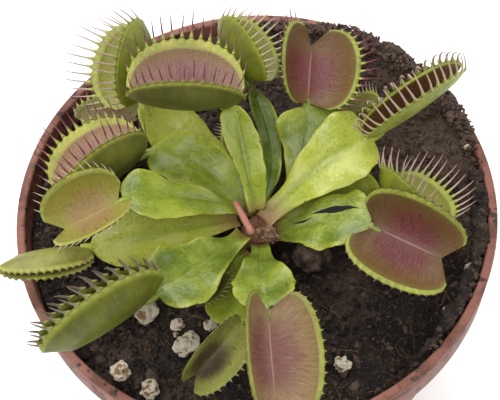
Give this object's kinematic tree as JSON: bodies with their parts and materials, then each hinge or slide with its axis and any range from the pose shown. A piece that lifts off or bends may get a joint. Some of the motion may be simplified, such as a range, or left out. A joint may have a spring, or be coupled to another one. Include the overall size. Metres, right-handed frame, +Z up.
{
  "type": "potted venus flytrap",
  "caption": "Venus flytrap in a round terracotta-coloured plastic nursery pot: a rosette of winged leaf stalks ending in toothed traps, open, closed and withered, over dark peaty soil with perlite.",
  "frame": {"origin": "centre of the underside of the pot's base", "axes": "+Z up, +X to the right of the front view, -Y towards the viewer"},
  "size_m": [0.092, 0.0924, 0.1095],
  "materials": {
    "pot_plastic": "terracotta-coloured moulded plastic, matt",
    "soil": "moist dark peat with bark fibre",
    "crown": "pale brown living stem base",
    "flower_stalk": "smooth pinkish-red stem",
    "flower_stub": "dry brown cut end",
    "leaf_stalk": "glossy yellow-green leaf blade",
    "leaf_trap": "olive green outside, pink to red-brown inside",
    "perlite": "rough off-white grains",
    "bark": "rough dark bark"
  },
  "bodies": {
    "root": {"pot": "pot_plastic", "soil": "soil", "crown": "crown", "flower_stalk": "flower_stalk", "flower_stub": "flower_stub", "leaf_01_stalk": "leaf_stalk", "leaf_01_trap": "leaf_trap", "leaf_02_stalk": "leaf_stalk", "leaf_02_trap": "leaf_trap", "leaf_03_stalk": "leaf_stalk", "leaf_03_trap": "leaf_trap", "leaf_04_stalk": "leaf_stalk", "leaf_04_trap": "leaf_trap", "leaf_05_stalk": "leaf_stalk", "leaf_05_trap": "leaf_trap", "leaf_06_stalk": "leaf_stalk", "leaf_06_trap": "leaf_trap", "leaf_07_stalk": "leaf_stalk", "leaf_07_trap": "leaf_trap", "leaf_08_stalk": "leaf_stalk", "leaf_08_trap": "leaf_trap", "leaf_09_stalk": "leaf_stalk", "leaf_09_trap": "leaf_trap", "leaf_10_stalk": "leaf_stalk", "leaf_10_trap": "leaf_trap", "leaf_11_stalk": "leaf_stalk", "leaf_11_trap": "leaf_trap", "leaf_12_stalk": "leaf_stalk", "leaf_12_trap": "leaf_trap", "leaf_13_stalk": "leaf_stalk", "leaf_13_trap": "leaf_trap", "leaf_14_stalk": "leaf_stalk", "leaf_14_trap": "leaf_trap", "leaf_15_stalk": "leaf_stalk", "leaf_15_trap": "leaf_trap", "leaf_16_stalk": "leaf_stalk", "leaf_16_trap": "leaf_trap", "leaf_17_stalk": "leaf_stalk", "leaf_17_trap": "leaf_trap", "perlite_01": "perlite", "perlite_02": "perlite", "perlite_03": "perlite", "perlite_04": "perlite", "perlite_05": "perlite", "perlite_06": "perlite", "perlite_07": "perlite", "perlite_08": "perlite", "bark_chip": "bark"}
  },
  "joints": []
}
